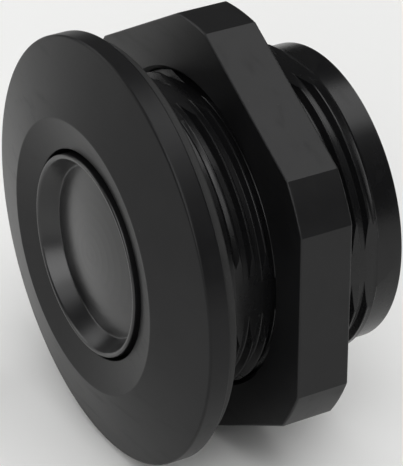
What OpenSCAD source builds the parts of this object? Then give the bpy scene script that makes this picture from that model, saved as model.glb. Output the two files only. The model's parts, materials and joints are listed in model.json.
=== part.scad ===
// Panel push button head for a 22 mm hole: bezel, dished button, threaded barrel and panel nut.
// Millimetres. The front faces -Y and +Z is up. The origin is on the barrel's axis, in the plane
// where the gasket meets the panel. Each piece is drawn along a local z axis that points out of
// the front, so z = 0 is the panel's face, and is then laid down by facing_front().

/* [Bezel] */
// Outer diameter of the bezel
bezel_d = 30; // [26:0.5:36]
// Thickness of the bezel's rim
rim_t = 1.5; // [1:0.1:3]
// Height of the bezel's ridge above the front of its rim
ridge_rise = 1.47; // [0.5:0.01:3]
// Diameter of the bezel's ridge
ridge_d = 19.34; // [17:0.02:22]
// Height of the hole's edge above the front of the rim
mouth_rise = 0.89; // [0.2:0.01:2]
// Diameter of the bezel's hole
mouth_d = 14.72; // [14:0.02:16]
// Thickness of the gasket
gasket_t = 0.83; // [0.5:0.01:2]
// Outer diameter of the gasket
gasket_d = 28.8; // [24:0.1:34]

/* [Barrel] */
// Thread diameter
thread_d = 22; // [22:22]
// Thread pitch
pitch = 1; // [1:0.25:1.5]
// Depth of the thread
thread_depth = 0.46; // [0.3:0.01:0.6]
// Length of the plain neck behind the panel's face
neck_l = 1.85; // [1:0.05:3]
// Number of thread turns
turns = 11; // [6:1:14]
// Distance from the axis to the barrel's flats
flat_r = 10.48; // [10:0.01:10.9]
// Diameter of the plain collar behind the thread
collar_d = 21.3; // [20:0.1:21.8]
// Depth of the barrel's rear end behind the panel's face
barrel_l = 15.07; // [12:0.01:25]
// Bore of the barrel
bore_d = 18.8; // [18:0.1:19.4]

/* [Nut] */
// Width of the nut across its flats
nut_af = 28.5; // [26:0.5:30]
// Diameter that the nut's corners are turned down to
nut_corner_d = 30.96; // [29:0.02:34]
// Thickness of the nut
nut_t = 3.9; // [3:0.1:6]
// Depth of the nut's front face behind the panel's face
nut_y = 4.74; // [1:0.01:7]

/* [Button] */
// Outer diameter of the button
button_d = 14.2; // [13:0.1:14.6]
// Travel of the button
travel = 3.5; // [2:0.1:5]
// Height of the button's rim above the front of the bezel's rim
crest_rise = 1.25; // [0.5:0.01:2]
// Depth of the dish, from the button's rim to the foot of its wall
dish_depth = 1.31; // [0.5:0.01:2]
// Height of the dome in the middle of the dish, above the foot of the wall
dome_h = 0.75; // [0:0.05:1]

/* [Spring] */
// Wire diameter of the return spring
wire_d = 0.5; // [0.3:0.05:0.7]
// Mean diameter of the return spring
coil_d = 9.2; // [8:0.1:10]
// Number of coils
coils = 5.5; // [4:0.5:7]

/* [Hidden] */
$fn = 96;
eps = 0.01;

// Running and fitting gaps
run_gap = 0.05;
fit_gap = 0.03;

// Bezel
bezel_back = gasket_t;
rim_z = bezel_back + rim_t;
ridge_z = rim_z + ridge_rise;
mouth_z = rim_z + mouth_rise;
sleeve_r = bore_d / 2 - 0.04;
sleeve_end = -1.5;
rib_w = 0.6;
rib_angles = [90, -22.5, 202.5];

// Front seals, given as heights of their front and rear faces
seal_ring_r = 8.9;
seal_ring_wire = 0.45;
seal_ring_z = -0.6;
lip_z = [sleeve_end - fit_gap, -2.6];
stop_z = [-2.65, -3.25];
snap_t = 0.5;
snap_r = 9.75;
snap_inner_r = 8.75;
groove_r = 9.8;
front_snap_z = -3.3;

// Barrel
thread_r = thread_d / 2;
root_r = thread_r - thread_depth;
gasket_seat_r = thread_r - 0.4;
gasket_step_t = 0.42;
gasket_step_r = thread_r + 0.1;
land = 0.12;
flank_w = thread_depth * tan(30);
ledge_z = -9.4;
ledge_t = 0.9;
ledge_r = 8.3;
socket_r = 9.3;
last_crest = neck_l + turns * pitch;

// Rear guide
plate_t = 1.1;
plate_z = ledge_z + plate_t;
bush_r = 3;
bush_flange_r = 3.6;
bush_flange_t = 0.4;
bush_l = 2;
plate_snap_z = plate_z + 0.05 + snap_t;
washer_t = 0.3;
washer_z = plate_z + washer_t;
ring_z = [-12.3, -14.8];
ring_bore_r = 8.2;
slot_depth = 0.6;
slot_half_angle = 8;
pocket_half_angle = 13;
pocket_z = [-13, -13.9];

// Button
cap_r = button_d / 2;
crest_z = rim_z + crest_rise;
crest_r = cap_r - 0.3;
edge_drop = 0.33;
dish_z = crest_z - dish_depth;
dish_r = 6.07;
cap_bore_r = 6;
cap_floor_z = 0.95;
stop_collar_r = 8.2;
stop_collar_z = stop_z[1] - run_gap;
stop_collar_t = 1;
carrier_r = cap_bore_r - fit_gap;
carrier_z = [cap_floor_z - fit_gap, -0.6];
carrier_ring_z = 0.2;
carrier_ring_r = 5.6;
carrier_ring_wire = 0.33;
carrier_snap_z = carrier_z[1] - 0.03;
carrier_snap_t = 0.4;
carrier_snap_r = [5.4, 6.35];
stem_r = 2;
hub_r = 3.2;
bumper_t = 0.65;
bumper_end = plate_z + bush_flange_t + travel + run_gap;
hub_end = bumper_end + bumper_t;
stem_z = [-0.2, -12.2];
foot_r = 4.6;
foot_z = [-10.7, -11.9];
foot_recess_r = 3.8;
foot_recess_t = 0.5;
clip_r = 3.4;
clip_t = 0.4;
clip_groove_r = 1.5;

// Lays a piece drawn along z down, so that its z points out of the front.
module facing_front() {
    rotate([90, 0, 0]) children();
}

// A ring between two heights, front first.
module ring(outer_r, inner_r, front_z, back_z) {
    translate([0, 0, back_z])
        difference() {
            cylinder(r = outer_r, h = front_z - back_z);
            translate([0, 0, -1]) cylinder(r = inner_r, h = front_z - back_z + 2);
        }
}

// A ring of round section at height z.
module o_ring(mean_r, wire_r, z) {
    translate([0, 0, z])
        rotate_extrude() translate([mean_r, 0]) circle(r = wire_r, $fn = 32);
}

// A flat wedge from the axis outwards, used to open a ring.
module wedge_outline(angle, half_angle, reach) {
    rotate(angle)
        polygon([[0, 0], [reach, -reach * tan(half_angle)], [reach, reach * tan(half_angle)]]);
}

// The same wedge between two heights, front first.
module wedge(angle, half_angle, reach, front_z, back_z) {
    translate([0, 0, back_z])
        linear_extrude(front_z - back_z) wedge_outline(angle, half_angle, reach);
}

// A snap ring with a gap and two plier eyes. front_z is its front face.
module snap_ring(outer_r, inner_r, front_z, thickness, eye_r, gap_angle) {
    eye_at = inner_r + 0.15;
    translate([0, 0, front_z - thickness])
        linear_extrude(thickness)
            difference() {
                union() {
                    difference() {
                        circle(r = outer_r);
                        circle(r = inner_r);
                    }
                    for (side = [-1, 1])
                        rotate(gap_angle + side * 9) translate([eye_at, 0]) circle(r = eye_r);
                }
                wedge_outline(gap_angle, 4, outer_r + 1);
                for (side = [-1, 1])
                    rotate(gap_angle + side * 9) translate([eye_at, 0]) circle(r = 0.22);
            }
}

// Outline of the barrel's outside from the neck to the end of the thread, one V groove at a time.
function thread_outline() = [
    for (k = [0 : turns - 1])
        let (y = neck_l + k * pitch)
            each [[thread_r, -y - land / 2], [root_r, -y - land / 2 - flank_w],
                [root_r, -y - pitch + land / 2 + flank_w], [thread_r, -y - pitch + land / 2]]
];

// Side view of what one flat takes away. It runs out on a slope, so the rear edge stays round.
module flat_outline() {
    polygon([[flat_r, -neck_l - land / 2], [flat_r, -barrel_l + 1.97],
        [collar_d / 2 + 0.01, -barrel_l + 0.57], [thread_r + 1, -barrel_l + 0.57],
        [thread_r + 1, -neck_l - land / 2]]);
}

module threaded_barrel() {
    color([0.05, 0.05, 0.055])
        facing_front()
            difference() {
                rotate_extrude()
                    polygon(concat(
                        [[bore_d / 2, bezel_back], [gasket_seat_r, bezel_back],
                            [gasket_seat_r, 0], [thread_r, 0]],
                        thread_outline(),
                        [[thread_r, -last_crest - land / 2], [collar_d / 2, -last_crest - land / 2 - 0.3],
                            [collar_d / 2, -barrel_l + 0.1], [collar_d / 2 - 0.1, -barrel_l],
                            [socket_r, -barrel_l],
                            [socket_r, ledge_z - ledge_t], [ledge_r, ledge_z - ledge_t],
                            [ledge_r, ledge_z], [bore_d / 2, ledge_z]]));
                for (groove_z = [front_snap_z, plate_snap_z])
                    ring(groove_r, bore_d / 2 - 0.2, groove_z + 0.02, groove_z - snap_t - 0.02);
                for (angle = [0 : 90 : 270])
                    rotate(angle)
                        translate([0, thread_r, 0])
                            rotate([90, 0, 0])
                                linear_extrude(thread_d) flat_outline();
            }
}

module front_bezel() {
    bezel_r = bezel_d / 2;
    ring_groove_r = seal_ring_r - seal_ring_wire - 0.02;
    color([0.09, 0.09, 0.1])
        facing_front() {
            rotate_extrude()
                polygon([[mouth_d / 2, sleeve_end], [mouth_d / 2, mouth_z - 0.12],
                    [mouth_d / 2 + 0.12, mouth_z], [ridge_d / 2, ridge_z],
                    [bezel_r - 0.45, rim_z + 0.1], [bezel_r - 0.13, rim_z - 0.08],
                    [bezel_r, rim_z - 0.4], [bezel_r, bezel_back + 0.1],
                    [bezel_r - 0.1, bezel_back], [sleeve_r, bezel_back],
                    [sleeve_r, seal_ring_z + 0.5], [ring_groove_r, seal_ring_z + 0.5],
                    [ring_groove_r, seal_ring_z - 0.5], [sleeve_r, seal_ring_z - 0.5],
                    [sleeve_r, sleeve_end]]);
            for (angle = rib_angles)
                rotate(angle)
                    difference() {
                        translate([cap_r - 0.1, -rib_w / 2, sleeve_end + 0.3])
                            cube([mouth_d / 2 - cap_r + 0.3, rib_w, mouth_z - sleeve_end - 0.6]);
                        cylinder(r = cap_r + run_gap, h = 20, center = true);
                    }
        }
}

module panel_gasket() {
    color([0.12, 0.12, 0.125])
        facing_front()
            rotate_extrude()
                polygon([[gasket_seat_r + fit_gap, gasket_t], [gasket_seat_r + fit_gap, gasket_step_t],
                    [gasket_step_r, gasket_step_t], [gasket_step_r, 0], [gasket_d / 2, 0],
                    [gasket_d / 2, gasket_t]]);
}

module bezel_seal_ring() {
    color([0.08, 0.08, 0.08])
        facing_front() o_ring(seal_ring_r, seal_ring_wire, seal_ring_z);
}

module lip_seal() {
    lip_r = cap_r + run_gap;
    color([0.1, 0.1, 0.1])
        facing_front()
            rotate_extrude()
                polygon([[sleeve_r, lip_z[0]], [sleeve_r, lip_z[1]], [lip_r + 0.5, lip_z[1]],
                    [lip_r + 0.5, lip_z[1] + 0.35], [lip_r, lip_z[1] + 0.6], [lip_r, lip_z[0] - 0.2],
                    [lip_r + 0.35, lip_z[0]]]);
}

module stop_ring() {
    color([0.6, 0.6, 0.62])
        facing_front() ring(sleeve_r, mouth_d / 2, stop_z[0], stop_z[1]);
}

module front_snap_ring() {
    color([0.5, 0.5, 0.52])
        facing_front() snap_ring(snap_r, snap_inner_r, front_snap_z, snap_t, 0.42, 90);
}

module guide_plate() {
    color([0.2, 0.2, 0.21])
        facing_front() ring(sleeve_r, bush_r + fit_gap, plate_z, ledge_z + eps);
}

module guide_bushing() {
    bore_r = stem_r + run_gap;
    color([0.75, 0.6, 0.3])
        facing_front() {
            ring(bush_flange_r, bore_r, plate_z + bush_flange_t, plate_z + eps);
            ring(bush_r, bore_r, plate_z + eps, plate_z - bush_l);
        }
}

module plate_snap_ring() {
    color([0.5, 0.5, 0.52])
        facing_front() snap_ring(snap_r, snap_inner_r, plate_snap_z, snap_t, 0.42, 90);
}

module spring_washer_seat() {
    color([0.6, 0.6, 0.62])
        facing_front()
            ring(coil_d / 2 + 1.3, bush_flange_r + 0.1, washer_z, plate_z + eps);
}

// Sweeps an octagon along the spring's helix. The end coils lie closer together.
module return_spring() {
    wire_r = wire_d / 2;
    sides = 8;
    steps = floor(coils * 28);
    start_z = washer_z + wire_r + fit_gap;
    end_z = carrier_z[1] - wire_r - fit_gap;
    function rise(t) = t < 0.12 ? t * 0.55 : t > 0.88 ? 1 - (1 - t) * 0.55
        : 0.066 + (t - 0.12) * (1 - 0.132) / 0.76;
    points = [for (i = [0 : steps]) let (t = i / steps, turn = t * coils * 360)
        for (j = [0 : sides - 1]) let (side = (j + 0.5) * 360 / sides,
            r = coil_d / 2 + wire_r * cos(side))
            [r * cos(turn), r * sin(turn), start_z + (end_z - start_z) * rise(t) + wire_r * sin(side)]];
    skin = [for (i = [0 : steps - 1]) for (j = [0 : sides - 1]) let (n = (j + 1) % sides)
        [i * sides + j, (i + 1) * sides + j, (i + 1) * sides + n, i * sides + n]];
    color([0.65, 0.65, 0.67])
        facing_front()
            polyhedron(points = points, faces = concat([[for (j = [0 : sides - 1]) j]], skin,
                [[for (j = [sides - 1 : -1 : 0]) steps * sides + j]]), convexity = 10);
}

// A stretch of ring between two radii and heights, half_angle to each side of angle.
module ring_sector(outer_r, inner_r, front_z, back_z, angle, half_angle) {
    intersection() {
        ring(outer_r, inner_r, front_z, back_z);
        wedge(angle, half_angle, outer_r + 2, front_z + 1, back_z - 1);
    }
}

// Takes the contact block: two bayonet slots run in from the rear and turn into pockets.
module coupling_ring() {
    slot_r = [ring_bore_r + slot_depth, ring_bore_r - 0.5];
    color([0.3, 0.3, 0.31])
        facing_front()
            difference() {
                ring(socket_r - fit_gap, ring_bore_r, ring_z[0], ring_z[1]);
                for (angle = [0, 180]) {
                    ring_sector(slot_r[0], slot_r[1], pocket_z[0], ring_z[1] - 1, angle, slot_half_angle);
                    ring_sector(slot_r[0], slot_r[1], pocket_z[0] - 0.02, pocket_z[1],
                        angle + pocket_half_angle, pocket_half_angle);
                }
            }
}

module button_cap() {
    skirt_end = stop_collar_z - stop_collar_t;
    groove_front = carrier_snap_z + 0.02;
    groove_back = groove_front - carrier_snap_t - 0.04;
    color([0.07, 0.07, 0.075])
        facing_front()
            rotate_extrude()
                polygon([[0, cap_floor_z], [0, dish_z + dome_h], [dish_r * 0.35, dish_z + dome_h * 0.88],
                    [dish_r * 0.7, dish_z + dome_h * 0.51], [dish_r, dish_z], [crest_r - 0.05, crest_z - 0.04],
                    [crest_r + 0.05, crest_z], [cap_r - 0.08, crest_z - 0.14], [cap_r, crest_z - edge_drop],
                    [cap_r, stop_collar_z], [stop_collar_r, stop_collar_z], [stop_collar_r, skirt_end],
                    [cap_bore_r, skirt_end], [cap_bore_r, groove_back], [carrier_snap_r[1] + 0.05, groove_back],
                    [carrier_snap_r[1] + 0.05, groove_front], [cap_bore_r, groove_front],
                    [cap_bore_r, cap_floor_z]]);
}

module cap_carrier() {
    bore_r = stem_r + fit_gap;
    ring_r = carrier_ring_r - carrier_ring_wire - 0.02;
    color([0.85, 0.85, 0.83])
        facing_front()
            rotate_extrude()
                polygon([[0, carrier_z[0]], [0, stem_z[0] + fit_gap], [bore_r, stem_z[0] + fit_gap],
                    [bore_r, hub_end], [hub_r, hub_end], [hub_r, carrier_z[1]], [carrier_r, carrier_z[1]],
                    [carrier_r, carrier_ring_z - 0.38], [ring_r, carrier_ring_z - 0.38],
                    [ring_r, carrier_ring_z + 0.38], [carrier_r, carrier_ring_z + 0.38],
                    [carrier_r, carrier_z[0]]]);
}

module carrier_seal_ring() {
    color([0.08, 0.08, 0.08])
        facing_front() o_ring(carrier_ring_r, carrier_ring_wire, carrier_ring_z);
}

module carrier_snap_ring() {
    color([0.5, 0.5, 0.52])
        facing_front()
            snap_ring(carrier_snap_r[1], carrier_snap_r[0], carrier_snap_z, carrier_snap_t, 0.35, -90);
}

module plunger_stem() {
    groove_front = foot_z[1] + foot_recess_t;
    color([0.65, 0.65, 0.68])
        facing_front()
            rotate_extrude()
                polygon([[0, stem_z[0]], [stem_r, stem_z[0]], [stem_r, groove_front],
                    [clip_groove_r, groove_front], [clip_groove_r, groove_front - clip_t],
                    [stem_r, groove_front - clip_t], [stem_r, stem_z[1] + 0.15],
                    [stem_r - 0.15, stem_z[1]], [0, stem_z[1]]]);
}

module bumper_ring() {
    color([0.12, 0.12, 0.12])
        facing_front() ring(hub_r, stem_r + fit_gap, hub_end - eps, bumper_end);
}

module pusher_foot() {
    color([0.75, 0.75, 0.73])
        facing_front()
            difference() {
                ring(foot_r, stem_r + fit_gap, foot_z[0], foot_z[1]);
                translate([0, 0, foot_z[1] - 1])
                    cylinder(r = foot_recess_r, h = 1 + foot_recess_t);
            }
}

module foot_clip() {
    front_z = foot_z[1] + foot_recess_t - 0.02;
    back_z = front_z - clip_t + 0.04;
    color([0.5, 0.5, 0.52])
        facing_front()
            difference() {
                ring(clip_r, clip_groove_r + 0.02, front_z, back_z);
                wedge(-90, 22, clip_r + 1, front_z + 1, back_z - 1);
            }
}

// The void inside the nut: a bore with V grooves between its teeth, and a countersink at each end.
module nut_bore() {
    tooth_gap = 0.06;
    wall_r = thread_r + 0.08;
    tip_r = root_r + 0.08;
    tooth_base = (pitch - land) / 2 - tooth_gap;
    tooth_tip = tooth_base - (wall_r - tip_r) * tan(30);
    sink_r = thread_r + 0.35;
    first = ceil((nut_y - neck_l) / pitch);
    last = floor((nut_y + nut_t - neck_l) / pitch) - 1;
    rotate_extrude()
        polygon(concat(
            [[0, -nut_y + 1], [sink_r, -nut_y + 1], [sink_r, -nut_y], [wall_r, -nut_y - 0.27]],
            [for (k = [first : last]) let (y = neck_l + (k + 0.5) * pitch)
                each [[wall_r, -y + tooth_base], [tip_r, -y + tooth_tip],
                    [tip_r, -y - tooth_tip], [wall_r, -y - tooth_base]]],
            [[wall_r, -nut_y - nut_t + 0.27], [sink_r, -nut_y - nut_t], [sink_r, -nut_y - nut_t - 1],
                [0, -nut_y - nut_t - 1]]));
}

module hex_nut() {
    color([0.07, 0.07, 0.075])
        facing_front()
            difference() {
                intersection() {
                    translate([0, 0, -nut_y - nut_t])
                        rotate(30) cylinder(d = nut_af / cos(30), h = nut_t, $fn = 6);
                    translate([0, 0, -nut_y - nut_t]) cylinder(d = nut_corner_d, h = nut_t);
                }
                nut_bore();
            }
}

threaded_barrel();
front_bezel();
panel_gasket();
bezel_seal_ring();
lip_seal();
stop_ring();
front_snap_ring();
guide_plate();
guide_bushing();
plate_snap_ring();
spring_washer_seat();
return_spring();
coupling_ring();
button_cap();
cap_carrier();
carrier_seal_ring();
carrier_snap_ring();
plunger_stem();
bumper_ring();
pusher_foot();
foot_clip();
hex_nut();
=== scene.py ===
import json
import math

import bmesh
import bpy
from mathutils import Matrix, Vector


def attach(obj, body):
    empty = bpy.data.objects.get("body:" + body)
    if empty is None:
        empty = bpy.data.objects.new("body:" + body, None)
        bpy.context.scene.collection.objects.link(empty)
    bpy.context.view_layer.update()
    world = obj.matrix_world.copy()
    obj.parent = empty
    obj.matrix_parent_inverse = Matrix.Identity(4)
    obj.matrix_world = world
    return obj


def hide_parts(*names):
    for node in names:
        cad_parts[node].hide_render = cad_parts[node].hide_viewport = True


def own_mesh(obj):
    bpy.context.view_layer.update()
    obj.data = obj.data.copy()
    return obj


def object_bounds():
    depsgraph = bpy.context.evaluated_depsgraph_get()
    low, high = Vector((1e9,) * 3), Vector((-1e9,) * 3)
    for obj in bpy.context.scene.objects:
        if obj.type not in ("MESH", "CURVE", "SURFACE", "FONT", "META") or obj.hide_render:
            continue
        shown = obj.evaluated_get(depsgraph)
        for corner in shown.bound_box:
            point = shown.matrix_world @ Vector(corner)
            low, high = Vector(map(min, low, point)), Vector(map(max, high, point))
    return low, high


# The button head's axis lies along Y and its front faces -Y. Lengths in the dictionaries are in
# millimetres, and every mesh is scaled to metres as it is made.
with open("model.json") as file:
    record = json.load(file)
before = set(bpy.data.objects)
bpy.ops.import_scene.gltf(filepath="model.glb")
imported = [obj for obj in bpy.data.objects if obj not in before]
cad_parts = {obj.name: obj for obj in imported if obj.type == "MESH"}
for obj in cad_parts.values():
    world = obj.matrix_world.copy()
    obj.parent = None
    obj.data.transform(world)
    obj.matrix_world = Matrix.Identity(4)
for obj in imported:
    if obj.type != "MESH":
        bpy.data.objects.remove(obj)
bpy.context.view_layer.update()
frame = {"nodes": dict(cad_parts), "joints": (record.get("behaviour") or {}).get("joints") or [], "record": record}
mm = 0.001
columns = 192
print("frame loaded")


# Largest and smallest radius and first and last depth of a CAD node, in millimetres
def sizeOf(node):
    points = [v.co / mm for v in frame["nodes"][node].data.vertices]
    radii = [math.hypot(p.x, p.z) for p in points]
    depths = [p.y for p in points]
    return {"outer": max(radii), "inner": min(radii), "front": min(depths), "back": max(depths)}


# A point at a radius, an angle from +Z towards +X, and a depth along the axis
def around(radius, angle, depth):
    return Vector((radius * math.sin(angle), depth, radius * math.cos(angle)))


# How outlines are divided, in millimetres: runs shorter than shortest stay whole, the others are
# divided about every longest, and the first and last parts of a run are hold long
division = {"shortest": 0.3, "hold": 0.06, "longest": 0.8, "mostFillet": 0.48, "arcSteps": 6}


# Rounds the corners (radius, depth, fillet) of an outline and divides its long runs
def roundedPath(corners, closed=True):
    count = len(corners)
    stops = []
    for i, corner in enumerate(corners):
        here = Vector(corner[:2])
        fillet = corner[2] if len(corner) > 2 else 0
        if not fillet or not (closed or 0 < i < count - 1):
            stops.append([here])
            continue
        toLast = Vector(corners[i - 1][:2]) - here
        toNext = Vector(corners[(i + 1) % count][:2]) - here
        half = toLast.angle(toNext) / 2
        most = division["mostFillet"]
        reach = min(fillet / math.tan(half), toLast.length * most, toNext.length * most)
        radius = reach * math.tan(half)
        middle = (toLast.normalized() + toNext.normalized()).normalized()
        centre = here + middle * (radius / math.sin(half))
        first = here + toLast.normalized() * reach - centre
        last = here + toNext.normalized() * reach - centre
        sweep = first.angle(last)
        arc = []
        for k in range(division["arcSteps"] + 1):
            t = k / division["arcSteps"]
            spot = first * math.sin((1 - t) * sweep) + last * math.sin(t * sweep)
            arc.append(centre + spot / math.sin(sweep))
        stops.append(arc)
    path = []
    for i, arc in enumerate(stops):
        path += arc
        if i == count - 1 and not closed:
            break
        here, there = arc[-1], stops[(i + 1) % count][0]
        run = (there - here).length
        if run < division["shortest"]:
            continue
        hold = division["hold"] / run
        parts = max(1, round(run / division["longest"]))
        shares = [hold] + [k / parts for k in range(1, parts)] + [1 - hold]
        path += [here.lerp(there, share) for share in shares]
    return path


# Welds a mesh, drops loose edges, faces it outwards, and smooths it except across sharp edges
def settle(piece, sharpest=21, weld=2e-8):
    mesh = bmesh.new()
    mesh.from_mesh(piece.data)
    bmesh.ops.remove_doubles(mesh, verts=mesh.verts, dist=weld)
    bmesh.ops.dissolve_degenerate(mesh, dist=weld, edges=mesh.edges)
    loose = [edge for edge in mesh.edges if not edge.link_faces]
    bmesh.ops.delete(mesh, geom=loose, context="EDGES")
    lone = [vert for vert in mesh.verts if not vert.link_faces]
    bmesh.ops.delete(mesh, geom=lone, context="VERTS")
    bmesh.ops.recalc_face_normals(mesh, faces=mesh.faces)
    mesh.to_mesh(piece.data)
    mesh.free()
    piece.data.shade_smooth()
    piece.data.set_sharp_from_angle(angle=math.radians(sharpest))
    return piece


# A mesh through rows of points, row after row. The points are in millimetres.
def skin(name, rows, loop=True, capped=False):
    width = len(rows[0])
    points = [p * mm for row in rows for p in row]
    faces = []
    for i in range(len(rows) if loop else len(rows) - 1):
        near, far = i * width, (i + 1) % len(rows) * width
        faces += [(near + j, near + j + 1, far + j + 1, far + j) for j in range(width - 1)]
    if capped:
        last = (len(rows) - 1) * width
        faces.append([j for j in range(width - 1)])
        faces.append([last + j for j in reversed(range(width - 1))])
    data = bpy.data.meshes.new(name)
    data.from_pydata(points, [], faces)
    piece = bpy.data.objects.new(name, data)
    bpy.context.collection.objects.link(piece)
    return settle(piece)


# The angles of a piece's columns, the first one repeated at the end
def evenAngles(count=columns):
    return [2 * math.pi * j / count for j in range(count + 1)]


# Turns an outline round the axis. An open outline starts and ends on the axis.
def turned(name, corners, closed=True):
    path = roundedPath(corners, closed)
    rows = [[around(p.x, a, p.y) for a in evenAngles()] for p in path]
    return skin(name, rows, loop=closed)


# A washer with rounded edges, in the place of a CAD node
def washer(name, size, edge, **changes):
    s = {**size, **changes}
    return turned(name, [(s["inner"], s["front"], edge), (s["outer"], s["front"], edge),
                         (s["outer"], s["back"], edge), (s["inner"], s["back"], edge)])


# Part of a ring between two angles. innerAt may change the inner radius with the angle
def arcBlock(name, outer, inner, front, back, first, last, steps=48, innerAt=None):
    rows = []
    for k in range(steps + 1):
        angle = first + (last - first) * k / steps
        inside = innerAt(angle) if innerAt else inner
        rows.append([around(outer, angle, front), around(outer, angle, back),
                     around(inside, angle, back), around(inside, angle, front),
                     around(outer, angle, front)])
    return skin(name, rows, loop=False, capped=True)


# A straight round rod between two depths, its centre at a radius and an angle
def rod(name, radius, atRadius, angle, front, back, sides=32):
    centre = around(atRadius, angle, 0)
    rows = []
    for depth in (front, back):
        rows.append([centre + around(radius, a, depth) for a in evenAngles(sides)])
    return skin(name, rows, loop=False, capped=True)


# A block on the axis side of an angle, from one radius to another
def block(name, inner, outer, width, front, back, angle):
    across = around(1, angle + math.pi / 2, 0) * (width / 2)
    low, high = around(inner, angle, 0), around(outer, angle, 0)
    rows = []
    for depth in (front, back):
        down = Vector((0, depth, 0))
        rows.append([low - across + down, high - across + down, high + across + down,
                     low + across + down, low - across + down])
    return skin(name, rows, loop=False, capped=True)


softSharp = 32  # edges sharper than this stay sharp on a piece with a bevel, in degrees


# Runs a piece's modifiers into its mesh
def applied(piece, sharpest=21):
    seen = piece.evaluated_get(bpy.context.evaluated_depsgraph_get())
    data = bpy.data.meshes.new_from_object(seen)
    piece.modifiers.clear()
    piece.data = data
    return settle(piece, sharpest)


# Cuts other pieces out of one piece, or joins them to it
def combined(piece, tools, operation="DIFFERENCE"):
    for tool in tools:
        step = piece.modifiers.new("combine", "BOOLEAN")
        step.operation = operation
        step.solver = "EXACT"
        step.object = tool
    applied(piece)
    for tool in tools:
        bpy.data.objects.remove(tool)
    return piece


# Rounds the sharp edges of a piece
def softened(piece, width, sharpest=40):
    bevel = piece.modifiers.new("soften", "BEVEL")
    bevel.width = width * mm
    bevel.segments = 2
    bevel.limit_method = "ANGLE"
    bevel.angle_limit = math.radians(sharpest)
    return applied(piece, softSharp)


# One output of a node. Maths on it adds Math nodes.
class Wire:
    def __init__(self, finish, socket):
        self.finish = finish
        self.socket = socket

    def __add__(self, other):
        return self.finish.math("ADD", self, other)

    def __radd__(self, other):
        return self.finish.math("ADD", other, self)

    def __sub__(self, other):
        return self.finish.math("SUBTRACT", self, other)

    def __rsub__(self, other):
        return self.finish.math("SUBTRACT", other, self)

    def __mul__(self, other):
        return self.finish.math("MULTIPLY", self, other)

    def __rmul__(self, other):
        return self.finish.math("MULTIPLY", other, self)


class Finish:
    def __init__(self, name):
        self.material = bpy.data.materials.new(name)
        self.material.use_nodes = True
        self.tree = self.material.node_tree
        self.tree.nodes.clear()
        self.output = self.tree.nodes.new("ShaderNodeOutputMaterial")
        self.place = Wire(self, self.make("ShaderNodeTexCoord").outputs["Object"])

    # Any node: its settings come first, then the values or links of its sockets
    def make(self, kind, settings=None, sockets=None):
        node = self.tree.nodes.new(kind)
        for key, value in (settings or {}).items():
            setattr(node, key, value)
        for key, value in (sockets or {}).items():
            if isinstance(value, Wire):
                self.tree.links.new(value.socket, node.inputs[key])
            else:
                node.inputs[key].default_value = value
        return node

    def wire(self, kind, output, settings=None, sockets=None):
        return Wire(self, self.make(kind, settings, sockets).outputs[output])

    def math(self, operation, *terms):
        return self.wire("ShaderNodeMath", 0, {"operation": operation}, dict(enumerate(terms)))

    # 0 below low and 1 above high, with a smooth step between
    def step(self, value, low, high):
        return self.wire("ShaderNodeMapRange", 0, {"interpolation_type": "SMOOTHSTEP"},
                         {"Value": value, "From Min": low, "From Max": high})

    # Noise whose features are about size millimetres, stretched by a factor along each axis
    def noise(self, size, detail=2, stretch=(1, 1, 1), offset=0):
        place = self.wire("ShaderNodeMapping", 0, {"vector_type": "POINT"},
                          {"Vector": self.place, "Location": (offset, offset, offset),
                           "Scale": [1 / (size * mm * s) for s in stretch]})
        return self.wire("ShaderNodeTexNoise", "Fac", {"noise_dimensions": "3D"},
                         {"Vector": place, "Scale": 1, "Detail": detail, "Roughness": 0.55})

    # Round flecks about size millimetres apart
    def flecks(self, size, share):
        place = self.wire("ShaderNodeVectorMath", 0, {"operation": "SCALE"},
                          {0: self.place, "Scale": 1 / (size * mm)})
        far = self.wire("ShaderNodeTexVoronoi", "Distance", {"feature": "F1"},
                        {"Vector": place, "Scale": 1, "Randomness": 1})
        return 1 - self.step(far, share * 0.5, share)

    # 1 on edges and 0 on open faces
    def edges(self, width):
        rounded = self.wire("ShaderNodeBevel", 0, {"samples": 6}, {"Radius": width * mm})
        plain = self.wire("ShaderNodeNewGeometry", "Normal")
        dot = self.wire("ShaderNodeVectorMath", "Value", {"operation": "DOT_PRODUCT"},
                        {0: rounded, 1: plain})
        return self.step(1 - dot, 0.01, 0.16)

    def blend(self, share, first, second):
        return self.wire("ShaderNodeMix", 2, {"data_type": "RGBA"},
                         {0: share, 6: first, 7: second})

    def bump(self, height, depth, strength=1, normal=None):
        sockets = {"Height": height, "Distance": depth * mm, "Strength": strength}
        if normal:
            sockets["Normal"] = normal
        return self.wire("ShaderNodeBump", 0, None, sockets)

    def surface(self, values):
        shader = self.make("ShaderNodeBsdfPrincipled", None, values)
        self.tree.links.new(shader.outputs[0], self.output.inputs["Surface"])
        return self.material


def rgba(colour):
    return (*colour, 1)


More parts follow.
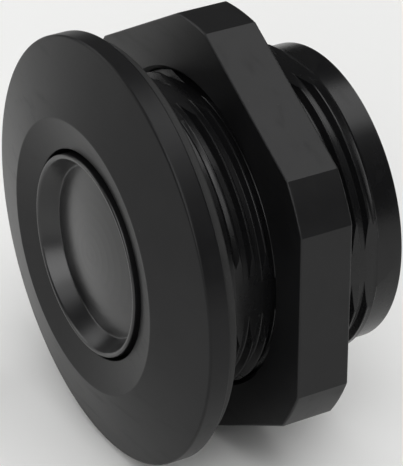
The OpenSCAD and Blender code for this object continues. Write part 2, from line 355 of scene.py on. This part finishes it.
# Moulded plastic: spark-eroded grain, faint flow marks, lighter edges that are partly wear and partly a painted
# highlight, handling marks and dust
def moulded(name, look):
    f = Finish(name)
    flow = f.noise(look["flow"], 3, (1, 2.5, 1))
    cloud = f.noise(look["cloud"], 4, offset=3)
    # edge: worn edges broken into chips. Lightening them with the pale colour also paints a highlight along crests
    # and rims
    edge = f.edges(look["edgeWidth"]) * f.step(f.noise(look["chips"], 4, offset=7), 0.3, 0.72)
    dust = f.flecks(look["fleckGap"], look["fleckShare"])
    dust = dust * f.step(f.noise(look["dustPatch"], 2, offset=11), 0.5, 0.66)
    tone = f.blend(f.step(flow * 0.6 + cloud * 0.4, 0.3, 0.7),
                   rgba(look["dark"]), rgba(look["light"]))
    tone = f.blend(edge * look["wearAndHighlight"], tone, rgba(look["wornAndHighlight"]))
    tone = f.blend(dust * look["dust"], tone, rgba(look["dustColour"]))
    rub = f.step(f.noise(look["rubSize"], 5, (6, 1, 1), 5), 0.52, 0.78)
    rough = look["rough"] + (flow - 0.5) * look["roughRange"] + rub * look["rub"]
    rough = rough - edge * look["wearAndHighlight"] * look["polish"] + dust * look["dustRough"]
    grain = f.noise(look["grain"], 3)
    skinned = f.bump(cloud, look["waviness"], 0.6)
    normal = f.bump(grain, look["grainDepth"], look["grainStrength"], skinned)
    return f.surface({"Base Color": tone, "Roughness": rough, "Normal": normal,
                             "Specular IOR Level": look["shine"]})


# Rubber: dull, with a fine mottle, pale bloom and a few moulding flecks
def rubbery(name, look):
    f = Finish(name)
    bloom = f.step(f.noise(look["bloom"], 5), 0.42, 0.7)
    mottle = f.noise(look["mottle"], 4, offset=2)
    # Edges lighten towards the pale colour: partly wear, partly a painted highlight
    edge = f.edges(look["edgeWidth"])
    tone = f.blend(bloom * 0.5 + mottle * 0.3, rgba(look["dark"]), rgba(look["light"]))
    tone = f.blend(edge * 0.5, tone, rgba(look["wornAndHighlight"]))
    dust = f.flecks(look["fleckGap"], look["fleckShare"])
    dust = dust * f.step(f.noise(look["dustPatch"], 2, offset=9), 0.5, 0.62)
    tone = f.blend(dust * 0.4, tone, rgba(look["wornAndHighlight"]))
    rough = look["rough"] + (mottle - 0.5) * 0.16 + bloom * 0.08
    pores = f.bump(f.noise(look["pores"], 2), look["poreDepth"], 0.6)
    pores = f.bump(mottle, look["mottleDepth"], 0.5, pores)
    return f.surface({"Base Color": tone, "Roughness": rough, "Normal": pores,
                             "Specular IOR Level": look["shine"]})


# Metal with turning rings round the axis, fine scratches and a little tarnish
def metallic(name, look):
    f = Finish(name)
    flat = f.wire("ShaderNodeVectorMath", 0, {"operation": "MULTIPLY"},
                  {0: f.place, 1: (1, 0, 1)})
    radius = f.wire("ShaderNodeVectorMath", "Value", {"operation": "LENGTH"}, {0: flat})
    rings = f.wire("ShaderNodeTexNoise", "Fac", {"noise_dimensions": "1D"},
                   {"W": radius, "Scale": 1 / (look["ringWidth"] * mm), "Detail": 3})
    tarnish = f.step(f.noise(look["stain"], 5), 0.4, 0.75)
    scratch = f.step(f.noise(look["scratch"], 4, (9, 1, 1), 4), 0.6, 0.72)
    # Edges lighten towards the edge colour: partly wear, partly a painted highlight
    edge = f.edges(look["edgeWidth"])
    tone = f.blend(tarnish * look["tarnish"], rgba(look["bright"]), rgba(look["dull"]))
    tone = f.blend(edge * 0.5, tone, rgba(look["edge"]))
    rough = look["rough"] + (rings - 0.5) * 0.2 + tarnish * 0.15 + scratch * 0.1
    lines = f.bump(scratch, look["scratchDepth"], 0.4)
    lines = f.bump(rings, look["ringDepth"], 0.5, lines)
    return f.surface({"Base Color": tone, "Roughness": rough, "Normal": lines,
                             "Metallic": 1.0})


# Sizes in the looks are in millimetres, colours are linear
# The pale edge colour and its strength paint worn edges together with a painted highlight along crests and rims
plasticLook = {
    "dark": (0.0045, 0.0045, 0.0048), "light": (0.0075, 0.0075, 0.008), "wornAndHighlight": (0.03, 0.03, 0.031),
    "dustColour": (0.12, 0.12, 0.115), "dust": 0.25, "wearAndHighlight": 0.35, "edgeWidth": 0.12,
    "rough": 0.4, "roughRange": 0.08, "rub": 0.06, "shine": 0.3,
    "grain": 0.09, "grainDepth": 0.006, "grainStrength": 0.35, "waviness": 0.012,
    "flow": 9, "cloud": 2.2, "chips": 0.7, "fleckGap": 1.3, "fleckShare": 0.07, "dustPatch": 3.5,
    "rubSize": 0.9, "polish": 0.12, "dustRough": 0.2}
bezelLook = {**plasticLook, "rough": 0.38, "shine": 0.2}
barrelLook = {**plasticLook, "rough": 0.27, "grainStrength": 0.2}
nutLook = {**plasticLook, "rough": 0.42}
buttonLook = {**plasticLook, "rough": 0.29, "roughRange": 0.05, "shine": 0.6, "grainStrength": 0.12,
              "dust": 0.35, "waviness": 0.006}
innerLook = {**plasticLook, "dark": (0.03, 0.03, 0.032), "light": (0.045, 0.045, 0.048),
             "wornAndHighlight": (0.12, 0.12, 0.12), "rough": 0.45}
carrierLook = {**plasticLook, "dark": (0.42, 0.42, 0.39), "light": (0.52, 0.52, 0.48),
               "wornAndHighlight": (0.65, 0.65, 0.62), "dustColour": (0.15, 0.14, 0.12), "rough": 0.45}
# The pale edge colour paints worn edges with a painted highlight, and also tints dust flecks
gasketLook = {"dark": (0.011, 0.011, 0.011), "light": (0.024, 0.024, 0.024),
              "wornAndHighlight": (0.06, 0.06, 0.06), "rough": 0.62, "shine": 0.4, "edgeWidth": 0.12,
              "bloom": 3, "mottle": 0.25, "mottleDepth": 0.02, "pores": 0.09, "poreDepth": 0.008,
              "fleckGap": 0.9, "fleckShare": 0.08, "dustPatch": 2.5}
sealLook = {**gasketLook, "dark": (0.008, 0.008, 0.008), "light": (0.02, 0.02, 0.02)}
# edge is the pale edge colour: worn edges together with a painted highlight
steelLook = {"bright": (0.58, 0.58, 0.6), "dull": (0.36, 0.35, 0.34), "edge": (0.75, 0.75, 0.76),
             "rough": 0.3, "tarnish": 0.6, "ringWidth": 0.12, "ringDepth": 0.006,
             "stain": 1.6, "scratch": 0.35, "scratchDepth": 0.004, "edgeWidth": 0.08}
springLook = {**steelLook, "bright": (0.5, 0.5, 0.52), "rough": 0.26, "ringWidth": 0.05}
brassLook = {**steelLook, "bright": (0.72, 0.5, 0.2), "dull": (0.42, 0.27, 0.12),
             "edge": (0.85, 0.66, 0.36), "rough": 0.28, "tarnish": 0.7, "ringWidth": 0.1}

finishes = {
    "bezel_plastic": moulded("bezelPlastic", bezelLook),
    "barrel_plastic": moulded("barrelPlastic", barrelLook),
    "nut_plastic": moulded("nutPlastic", nutLook),
    "button_plastic": moulded("buttonPlastic", buttonLook),
    "inner_plastic": moulded("innerPlastic", innerLook),
    "carrier_plastic": moulded("carrierPlastic", carrierLook),
    "foot_plastic": moulded("footPlastic", {**carrierLook, "rough": 0.5}),
    "gasket_rubber": rubbery("gasketRubber", gasketLook),
    "seal_rubber": rubbery("sealRubber", sealLook),
    "ring_steel": metallic("ringSteel", steelLook),
    "spring_steel": metallic("springSteel", springLook),
    "bushing_brass": metallic("bushingBrass", brassLook),
}
print("finishes made:", len(finishes))

bodyOf = {node: body for body, nodes in frame["record"]["behaviour"]["bodies"].items()
          for node in nodes}
slotOf = {part["node"]: part["material_slot"] for part in frame["record"]["subparts"]}


# Gives a piece its node's finish and body, in place of the node
def stand(piece, node):
    piece.data.materials.clear()
    piece.data.materials.append(finishes[slotOf[node]])
    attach(piece, bodyOf[node])
    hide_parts(node)
    print("made", piece.name)
    return piece


bezel = {"ridge": 9.67, "mouth": 7.36, "mouthDrop": 0.58, "rimDrop": 1.47, "rimFillet": 0.18,
         "ridgeFillet": 0.25, "mouthFillet": 0.12, "sleeve": 9.36, "flangeBack": -0.83,
         "groove": 8.43, "grooveFront": 0.1, "grooveBack": 1.1,
         "ribReach": 7.15, "ribWidth": 0.6, "ribSink": 0.15, "ribInset": 0.3, "ribEdge": 0.06,
         "ribAngles": (0, 112.5, 247.5)}


def makeBezel():
    b, s = bezel, sizeOf("front_bezel")
    front, outer = s["front"], s["outer"]
    piece = turned("bezel", [
        (b["mouth"], s["back"], 0.1), (b["mouth"], front + b["mouthDrop"], b["mouthFillet"]),
        (b["ridge"], front, b["ridgeFillet"]),
        (outer, front + b["rimDrop"], b["rimFillet"]), (outer, b["flangeBack"], 0.1),
        (b["sleeve"], b["flangeBack"]), (b["sleeve"], b["grooveFront"], 0.05),
        (b["groove"], b["grooveFront"], 0.15), (b["groove"], b["grooveBack"], 0.15),
        (b["sleeve"], b["grooveBack"], 0.05), (b["sleeve"], s["back"], 0.15)])
    ribFront, ribBack = front + b["mouthDrop"] + b["ribInset"], s["back"] - b["ribInset"]
    ribs = [block(f"rib{i}", b["ribReach"], b["mouth"] + b["ribSink"], b["ribWidth"],
                  ribFront, ribBack, math.radians(angle)) for i, angle in enumerate(b["ribAngles"])]
    combined(piece, [softened(rib, b["ribEdge"]) for rib in ribs], "UNION")
    return stand(piece, "front_bezel")


gasket = {"stepRadius": 11.1, "stepDepth": 0.42, "edge": 0.16, "innerEdge": 0.05}


def makeGasket():
    g, s = gasket, sizeOf("panel_gasket")
    step = s["back"] - g["stepDepth"]
    piece = turned("gasket", [
        (s["inner"], s["front"], g["innerEdge"]), (s["outer"], s["front"], g["edge"]),
        (s["outer"], s["back"], g["edge"]), (g["stepRadius"], s["back"], g["innerEdge"]),
        (g["stepRadius"], step), (s["inner"], step, g["innerEdge"])])
    return stand(piece, "panel_gasket")


# The thread runs from threadFront to threadBack. profile is one turn: share of the pitch, depth.
barrel = {"thread": 11.0, "pitch": 1.0, "depth": 0.46, "seat": 10.6, "bore": 9.4,
          "threadFront": 1.91, "threadBack": 12.91, "fadeFront": 0.55, "fadeBack": 0.5,
          "phase": 0.35, "collar": 10.65, "collarFront": 13.21,
          "socket": 9.3, "ledge": 8.3, "ledgeFront": 9.4, "ledgeBack": 10.3,
          "snapGroove": 9.8, "snapGrooves": (3.28, 7.73), "snapWidth": 0.54,
          "flat": 10.48, "flatWidth": 9.0, "flatRamp": 1.97, "flatEnd": 0.57,
          "profile": ((-0.04, 0), (0.04, 0), (0.075, 0.06), (0.3, 0.93), (0.34, 1),
                      (0.66, 1), (0.7, 0.93), (0.925, 0.06))}


# Rows of a helical thread. Each row climbs one pitch in a turn and is held between two depths.
def threadRows(t, angles, radiusAt):
    rows = []
    turns = math.ceil((t["threadBack"] - t["threadFront"]) / t["pitch"]) + 2
    for turn in range(-2, turns):
        for share, cut in t["profile"]:
            row = []
            for angle in angles:
                along = turn + share + t["phase"] + angle / math.tau
                depth = t["threadFront"] + t["pitch"] * along
                held = min(max(depth, t["threadFront"]), t["threadBack"])
                row.append(around(radiusAt(held, cut), angle, held))
            rows.append(row)
    return rows


# 0 below 0 and 1 above 1, with a smooth step between
def smooth(value):
    held = min(max(value, 0), 1)
    return held * held * (3 - 2 * held)


# What one flat takes away. It runs out on a slope, so the rear edge stays round.
def flatCutter(name, angle, back):
    b = barrel
    beyond, end = b["thread"] + 1, back - b["flatEnd"]
    outline = [(b["flat"], b["threadFront"]), (b["flat"], back - b["flatRamp"]),
               (b["collar"] + 0.01, end), (beyond, end), (beyond, b["threadFront"])]
    across = around(1, angle + math.pi / 2, 0) * (b["flatWidth"] / 2)
    rows = [[around(radius, angle, depth) + across * side
             for radius, depth in outline + outline[:1]] for side in (-1, 1)]
    return skin(name, rows, loop=False, capped=True)


def makeBarrel():
    b, s = barrel, sizeOf("threaded_barrel")
    angles = evenAngles()

    def radiusAt(depth, cut):
        fade = smooth((depth - b["threadFront"]) / b["fadeFront"])
        fade *= smooth((b["threadBack"] - depth) / b["fadeBack"])
        return b["thread"] - b["depth"] * cut * fade

    before = roundedPath([
        (b["bore"], s["front"]), (b["seat"], s["front"], 0.05), (b["seat"], 0),
        (b["thread"], 0, 0.05), (b["thread"], b["threadFront"])], closed=False)
    grooves = []
    for front in reversed(b["snapGrooves"]):
        back = front + b["snapWidth"]
        grooves += [(b["bore"], back), (b["snapGroove"], back), (b["snapGroove"], front),
                    (b["bore"], front)]
    after = roundedPath([
        (b["thread"], b["threadBack"]), (b["collar"], b["collarFront"], 0.12),
        (b["collar"], s["back"], 0.08), (b["socket"], s["back"], 0.12),
        (b["socket"], b["ledgeBack"], 0.1), (b["ledge"], b["ledgeBack"], 0.12),
        (b["ledge"], b["ledgeFront"], 0.12), (b["bore"], b["ledgeFront"], 0.1),
        *grooves, (b["bore"], s["front"] + 0.05)], closed=False)
    rows = [[around(p.x, a, p.y) for a in angles] for p in before]
    rows += threadRows(b, angles, radiusAt)
    rows += [[around(p.x, a, p.y) for a in angles] for p in after]
    piece = skin("barrel", rows)
    combined(piece, [flatCutter(f"flat{k}", k * math.pi / 2, s["back"]) for k in range(4)])
    return stand(piece, "threaded_barrel")


rings = {"steelEdge": 0.05, "bevel": 0.05, "bevelFrom": 50, "sealSides": 24}
lipSeal = {"lipBack": 0.6, "backStep": 0.35, "lipFront": 0.2, "frontFlare": 0.35, "seat": 0.5}


def makeSeals():
    for name, node in (("bezelSeal", "bezel_seal_ring"), ("carrierSeal", "carrier_seal_ring")):
        s = sizeOf(node)
        middle, thick = (s["outer"] + s["inner"]) / 2, (s["outer"] - s["inner"]) / 2
        depth = (s["front"] + s["back"]) / 2
        rows = []
        for k in range(rings["sealSides"]):
            turn = math.tau * k / rings["sealSides"]
            rows.append([around(middle + thick * math.cos(turn), a, depth + thick * math.sin(turn))
                         for a in evenAngles()])
        stand(skin(name, rows), node)
    s, w = sizeOf("lip_seal"), lipSeal
    lip, seat = s["inner"], s["inner"] + w["seat"]
    stand(turned("lipSeal", [
        (s["outer"], s["front"], 0.1), (s["outer"], s["back"], 0.1), (seat, s["back"], 0.06),
        (seat, s["back"] - w["backStep"], 0.1), (lip, s["back"] - w["lipBack"], 0.08),
        (lip, s["front"] + w["lipFront"], 0.08), (lip + w["frontFlare"], s["front"], 0.06)]),
        "lip_seal")
    stand(washer("stopRing", sizeOf("stop_ring"), rings["steelEdge"]), "stop_ring")


# Snap rings: a ring with a gap, and two lobes with plier holes beside it
snapRings = {
    "frontSnapRing": {"node": "front_snap_ring", "inner": 8.75, "eye": 0.42, "gapAt": 0},
    "plateSnapRing": {"node": "plate_snap_ring", "inner": 8.75, "eye": 0.42, "gapAt": 0},
    "carrierSnapRing": {"node": "carrier_snap_ring", "inner": 5.4, "eye": 0.35, "gapAt": 180}}
snapGap, snapEyeAt, snapHole, snapEyeDepth = 4, 9, 0.22, 0.15


def makeSnapRings():
    for name, ring in snapRings.items():
        s = sizeOf(ring["node"])
        middle = math.radians(ring["gapAt"])
        gap, eyeAt = math.radians(snapGap), math.radians(snapEyeAt)
        centre = ring["inner"] + snapEyeDepth

        def innerAt(angle):
            off = min(abs(math.remainder(angle - middle - side * eyeAt, math.tau))
                      for side in (-1, 1))
            span = ring["eye"] ** 2 - (centre * math.sin(off)) ** 2
            if off > 0.5 or span <= 0:
                return ring["inner"]
            return min(ring["inner"], centre * math.cos(off) - math.sqrt(span))

        piece = arcBlock(name, s["outer"], 0, s["front"], s["back"], middle + gap,
                         middle + math.tau - gap, 420, innerAt)
        holes = [rod(f"hole{side}", snapHole, centre, middle + side * eyeAt,
                     s["front"] - 1, s["back"] + 1, 24) for side in (-1, 1)]
        combined(piece, holes)
        stand(softened(piece, rings["bevel"], rings["bevelFrom"]), ring["node"])


bushing = {"flange": 0.4, "flangeStep": 0.6}


def makeRearGuide():
    stand(washer("guidePlate", sizeOf("guide_plate"), 0.1), "guide_plate")
    s = sizeOf("guide_bushing")
    flangeBack, body = s["front"] + bushing["flange"], s["outer"] - bushing["flangeStep"]
    stand(turned("guideBushing", [
        (s["inner"], s["front"], 0.1), (s["outer"], s["front"], 0.08),
        (s["outer"], flangeBack, 0.04), (body, flangeBack), (body, s["back"], 0.12),
        (s["inner"], s["back"], 0.12)]), "guide_bushing")
    stand(washer("springWasher", sizeOf("spring_washer_seat"), rings["steelEdge"]),
          "spring_washer_seat")


spring = {"wire": 0.5, "coils": 5.5, "stepsPerCoil": 40, "sides": 12, "endShare": 0.12,
          "endRise": 0.55, "seatDepth": 8.0}


# The end coils lie closer together than the middle ones
def springRise(t):
    rise, share = spring["endRise"], spring["endShare"]
    low = share * rise
    if t < share:
        return t * rise
    if t > 1 - share:
        return 1 - (1 - t) * rise
    return low + (t - share) * (1 - 2 * low) / (1 - 2 * share)


def makeSpring():
    s = sizeOf("return_spring")
    wire = spring["wire"] / 2
    mean = s["outer"] - wire
    steps = round(spring["coils"] * spring["stepsPerCoil"])
    rows = []
    for i in range(steps + 1):
        t = i / steps
        angle = math.pi / 2 - t * spring["coils"] * math.tau
        depth = s["back"] - wire - (s["back"] - s["front"] - 2 * wire) * springRise(t)
        rows.append([around(mean + wire * math.cos(a), angle, depth + wire * math.sin(a))
                     for a in evenAngles(spring["sides"])])
    piece = stand(skin("returnSpring", rows, loop=False, capped=True), "return_spring")
    travel = frame["joints"][0]["range_m"][1] / mm
    rest = spring["seatDepth"] - s["front"]
    (rest - travel) / rest
    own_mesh(piece)


# Bayonet slots run in from the rear and turn into pockets
coupling = {"bore": 8.2, "slotDepth": 0.6, "slotHalf": 8, "pocket": 26, "pocketFront": 13.02,
            "pocketBack": 13.9, "slotAngles": (90, 270), "cutInside": 0.5, "slotStep": 0.05,
            "pocketStep": 0.01, "slotParts": 9, "pocketParts": 16}


def makeCoupling():
    c, s = coupling, sizeOf("coupling_ring")
    piece = washer("couplingRing", s, 0.12, inner=c["bore"])
    reach, start = c["bore"] + c["slotDepth"], c["bore"] - c["cutInside"]
    cutters = []
    for i, angle in enumerate(c["slotAngles"]):
        middle, half, pocket = (math.radians(v) for v in (angle, c["slotHalf"], c["pocket"]))
        cutters.append(arcBlock(f"slot{i}", reach, start, c["pocketFront"] + c["slotStep"],
                                s["back"] + 1, middle - half, middle + half, c["slotParts"]))
        cutters.append(arcBlock(f"pocket{i}", reach + c["pocketStep"], start - c["pocketStep"],
                                c["pocketFront"], c["pocketBack"], middle - pocket,
                                middle + half / 2, c["pocketParts"]))
    combined(piece, cutters)
    return stand(piece, "coupling_ring")


button = {"side": 7.1, "crest": 6.8, "rimFillet": 0.24, "innerFillet": 0.5,
          "dish": 6.07, "dishDepth": 1.31, "dishFillet": 0.1, "dome": 0.75, "domeParts": 8,
          "collar": 8.2, "collarFront": 3.3, "skirt": 6.0, "floor": -0.95,
          "grooveFront": 0.61, "grooveBack": 1.05, "groove": 6.4}


def makeButtonCap():
    b, s = button, sizeOf("button_cap")
    front, floor = s["front"], s["front"] + b["dishDepth"]
    parts = b["domeParts"]
    dome = [(b["dish"] * k / parts, floor - b["dome"] * (1 - (k / parts) ** 2))
            for k in range(parts)]
    piece = turned("buttonCap", [
        (0, b["floor"]), *dome, (b["dish"], floor, b["dishFillet"]),
        (b["crest"], front, b["innerFillet"]), (b["side"], front, b["rimFillet"]),
        (b["side"], b["collarFront"], 0.05), (b["collar"], b["collarFront"], 0.08),
        (b["collar"], s["back"], 0.08), (b["skirt"], s["back"], 0.08),
        (b["skirt"], b["grooveBack"]), (b["groove"], b["grooveBack"]),
        (b["groove"], b["grooveFront"]), (b["skirt"], b["grooveFront"]),
        (b["skirt"], b["floor"], 0.1)])
    return stand(piece, "button_cap")


carrier = {"hub": 3.2, "bore": 2.03, "pocketEnd": 0.17, "groove": 5.25, "grooveAt": -0.2,
           "grooveHalf": 0.38, "plateBack": 0.6}


def makeCarrier():
    c, s = carrier, sizeOf("cap_carrier")
    outer = s["outer"]
    grooveFront, grooveBack = c["grooveAt"] - c["grooveHalf"], c["grooveAt"] + c["grooveHalf"]
    stand(turned("capCarrier", [
        (0, s["front"]), (0, c["pocketEnd"]), (c["bore"], c["pocketEnd"]),
        (c["bore"], s["back"], 0.08), (c["hub"], s["back"], 0.1),
        (c["hub"], c["plateBack"], 0.15), (outer, c["plateBack"], 0.08),
        (outer, grooveBack, 0.04), (c["groove"], grooveBack, 0.08),
        (c["groove"], grooveFront, 0.08), (outer, grooveFront, 0.04),
        (outer, s["front"], 0.08)]), "cap_carrier")
    stand(washer("bumperRing", sizeOf("bumper_ring"), 0.1), "bumper_ring")


plunger = {"radius": 2.0, "clipGroove": 1.5, "grooveFront": 11.4, "grooveBack": 11.8,
           "footRecess": 3.8, "recessDepth": 0.5, "clipGap": 22, "clipAt": 180, "clipParts": 96}


def makePlunger():
    p, s = plunger, sizeOf("plunger_stem")
    stand(turned("plungerStem", [
        (0, s["front"]), (p["radius"], s["front"], 0.05), (p["radius"], p["grooveFront"]),
        (p["clipGroove"], p["grooveFront"]), (p["clipGroove"], p["grooveBack"]),
        (p["radius"], p["grooveBack"], 0.03), (p["radius"], s["back"], 0.16), (0, s["back"])]),
        "plunger_stem")
    s = sizeOf("pusher_foot")
    recess = s["back"] - p["recessDepth"]
    stand(turned("pusherFoot", [
        (s["inner"], s["front"], 0.06), (s["outer"], s["front"], 0.25),
        (s["outer"], s["back"], 0.12), (p["footRecess"], s["back"], 0.1),
        (p["footRecess"], recess, 0.1), (s["inner"], recess, 0.04)]), "pusher_foot")
    s = sizeOf("foot_clip")
    middle, gap = math.radians(p["clipAt"]), math.radians(p["clipGap"])
    piece = arcBlock("footClip", s["outer"], s["inner"], s["front"], s["back"],
                     middle + gap, middle + math.tau - gap, p["clipParts"])
    stand(softened(piece, rings["bevel"], rings["bevelFrom"]), "foot_clip")


# The inside grooves are cut outwards from a bore that clears the barrel's thread
nut = {"acrossFlats": 28.5, "corner": 15.48, "edge": 0.12, "bore": 11.06, "sink": 11.35,
       "sinkDepth": 0.29, "pitch": 1.0, "phase": 0.35, "grooveDepth": 0.3, "fade": 0.35,
       "cornerParts": 4, "flatParts": 24, "edgeParts": 5, "faceInset": 0.1,
       "sideParts": 6, "sideRows": (0.15, 1, 2, 3, 4, 5, 5.85),
       "profile": ((-0.06, 0), (0.06, 0), (0.3, 1), (0.7, 1))}


# Column angles of the nut, with a column on each line where a flat meets a turned corner
def nutAngles():
    side, corners, flats = math.pi / 3, nut["cornerParts"], nut["flatParts"]
    half = math.pi / 6 - math.acos(nut["acrossFlats"] / 2 / nut["corner"])
    run = side - 2 * half
    angles = []
    for k in range(6):
        corner = k * math.pi / 3
        angles += [corner + half * t / corners for t in range(corners)]
        angles += [corner + half + run * t / flats for t in range(flats)]
        angles += [corner + side - half + half * t / corners for t in range(corners)]
    return angles + [math.tau]


# The nut's outline: six flats with turned corners, drawn in by an inset
def nutOuter(angle, inset):
    flat = math.remainder(angle - math.pi / 6, math.pi / 3)
    return min((nut["acrossFlats"] / 2 - inset) / math.cos(flat), nut["corner"] - inset)


def makeNut():
    n, s = nut, sizeOf("hex_nut")
    front, back, edge = s["front"], s["back"], n["edge"]
    angles = nutAngles()
    t = {**n, "threadFront": front + n["sinkDepth"], "threadBack": back - n["sinkDepth"]}

    def radiusAt(depth, cut):
        fade = smooth((depth - t["threadFront"]) / n["fade"])
        fade *= smooth((t["threadBack"] - depth) / n["fade"])
        return n["bore"] + n["grooveDepth"] * cut * fade

    def circle(radius, depth):
        return [around(radius, a, depth) for a in angles]

    def outline(inset, depth):
        return [around(nutOuter(a, inset), a, depth) for a in angles]

    rows = [circle(n["sink"], front), circle(n["bore"], t["threadFront"])]
    rows += threadRows(t, angles, radiusAt)
    inner, outer = n["sink"] + n["faceInset"], edge + n["faceInset"]
    rows += [circle(n["bore"], t["threadBack"]), circle(n["sink"], back)]
    rows += [circle(inner, back), outline(outer, back)]
    turns = [k * math.pi / (2 * n["edgeParts"]) for k in range(n["edgeParts"] + 1)]
    arc = [(edge * (1 - math.sin(turn)), edge * (1 - math.cos(turn))) for turn in turns]
    rows += [outline(inset, back - drop) for inset, drop in arc]
    span = back - front - 2 * edge
    rows += [outline(0, back - edge - span * k / n["sideParts"]) for k in n["sideRows"]]
    rows += [outline(inset, front + drop) for inset, drop in reversed(arc)]
    rows += [outline(outer, front), circle(inner, front)]
    return stand(skin("nut", rows), "hex_nut")


makeBezel()
makeGasket()
makeBarrel()
makeSeals()
makeSnapRings()
makeRearGuide()
makeSpring()
makeCoupling()
makeButtonCap()
makeCarrier()
makePlunger()
makeNut()


# The floor's size is in metres. room lights the object, backdrop is what shows behind it.
stage = {"floorSize": 4.0, "floorColour": (0.9, 0.9, 0.89), "floorTint": (0.8, 0.8, 0.79),
         "tintSize": 40, "tintShare": 0.3, "room": 0.03, "backdrop": 0.6,
         "azimuth": 60.2, "elevation": 29.8, "aim": (2.85, 3.96, 1.11), "distance": 183.3,
         "lens": 209.5, "sensor": 36, "nearest": 0.01}


# A direction from an azimuth and an elevation in degrees. Azimuth 0 is in front of the button.
def direction(azimuth, elevation):
    a, e = math.radians(azimuth), math.radians(elevation)
    return Vector((math.sin(a) * math.cos(e), -math.cos(a) * math.cos(e), math.sin(e)))


def makeFloor():
    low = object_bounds()[0].z
    half = stage["floorSize"] / 2
    data = bpy.data.meshes.new("floor")
    data.from_pydata([(-half, -half, low), (half, -half, low), (half, half, low),
                      (-half, half, low)], [], [(0, 1, 2, 3)])
    floor = bpy.data.objects.new("floor", data)
    bpy.context.collection.objects.link(floor)
    f = Finish("palePaper")
    tone = f.blend(f.noise(stage["tintSize"], 3) * stage["tintShare"],
                   rgba(stage["floorColour"]), rgba(stage["floorTint"]))
    data.materials.append(f.surface({"Base Color": tone, "Roughness": 0.8,
                                            "Specular IOR Level": 0.2}))


# Softboxes: direction from the object in degrees, and power. Size and distance are in metres.
boxSize, boxDistance = 0.9, 1.5
softboxes = {
    "right": {"azimuth": 90, "elevation": 56, "power": 7.5},
    "frontRight": {"azimuth": 45, "elevation": 28, "power": 8.0},
    "frontLeft": {"azimuth": -45, "elevation": 26, "power": 5.5},
    "left": {"azimuth": -90, "elevation": 40, "power": 3.5},
    "behind": {"azimuth": 180, "elevation": 62, "power": 6.5},
    "above": {"azimuth": 45, "elevation": 66, "power": 4.5},
}


def makeLights():
    for name, box in softboxes.items():
        lamp = bpy.data.lights.new(name, "AREA")
        lamp.shape = "SQUARE"
        lamp.size = boxSize
        lamp.energy = box["power"]
        light = bpy.data.objects.new(name, lamp)
        bpy.context.collection.objects.link(light)
        towards = direction(box["azimuth"], box["elevation"])
        light.location = towards * boxDistance
        light.rotation_euler = towards.to_track_quat("Z", "Y").to_euler()
    world = bpy.data.worlds.new("studio")
    bpy.context.scene.world = world
    world.use_nodes = True
    nodes, links = world.node_tree.nodes, world.node_tree.links
    room = nodes["Background"]
    backdrop = nodes.new("ShaderNodeBackground")
    mix = nodes.new("ShaderNodeMixShader")
    for background, strength in ((room, stage["room"]), (backdrop, stage["backdrop"])):
        background.inputs["Color"].default_value = (1, 1, 1, 1)
        background.inputs["Strength"].default_value = strength
    links.new(nodes.new("ShaderNodeLightPath").outputs["Is Camera Ray"], mix.inputs[0])
    links.new(room.outputs[0], mix.inputs[1])
    links.new(backdrop.outputs[0], mix.inputs[2])
    links.new(mix.outputs[0], nodes["World Output"].inputs["Surface"])


def makeCamera():
    lens = bpy.data.cameras.new("view")
    lens.lens = stage["lens"]
    lens.sensor_width = stage["sensor"]
    lens.clip_start = stage["nearest"]
    camera = bpy.data.objects.new("view", lens)
    bpy.context.collection.objects.link(camera)
    back = direction(stage["azimuth"], stage["elevation"])
    camera.location = (Vector(stage["aim"]) + back * stage["distance"]) * mm
    camera.rotation_euler = back.to_track_quat("Z", "Y").to_euler()
    bpy.context.scene.camera = camera


makeFloor()
makeLights()
makeCamera()
bpy.context.scene.view_settings.view_transform = "Standard"
print("stage set")
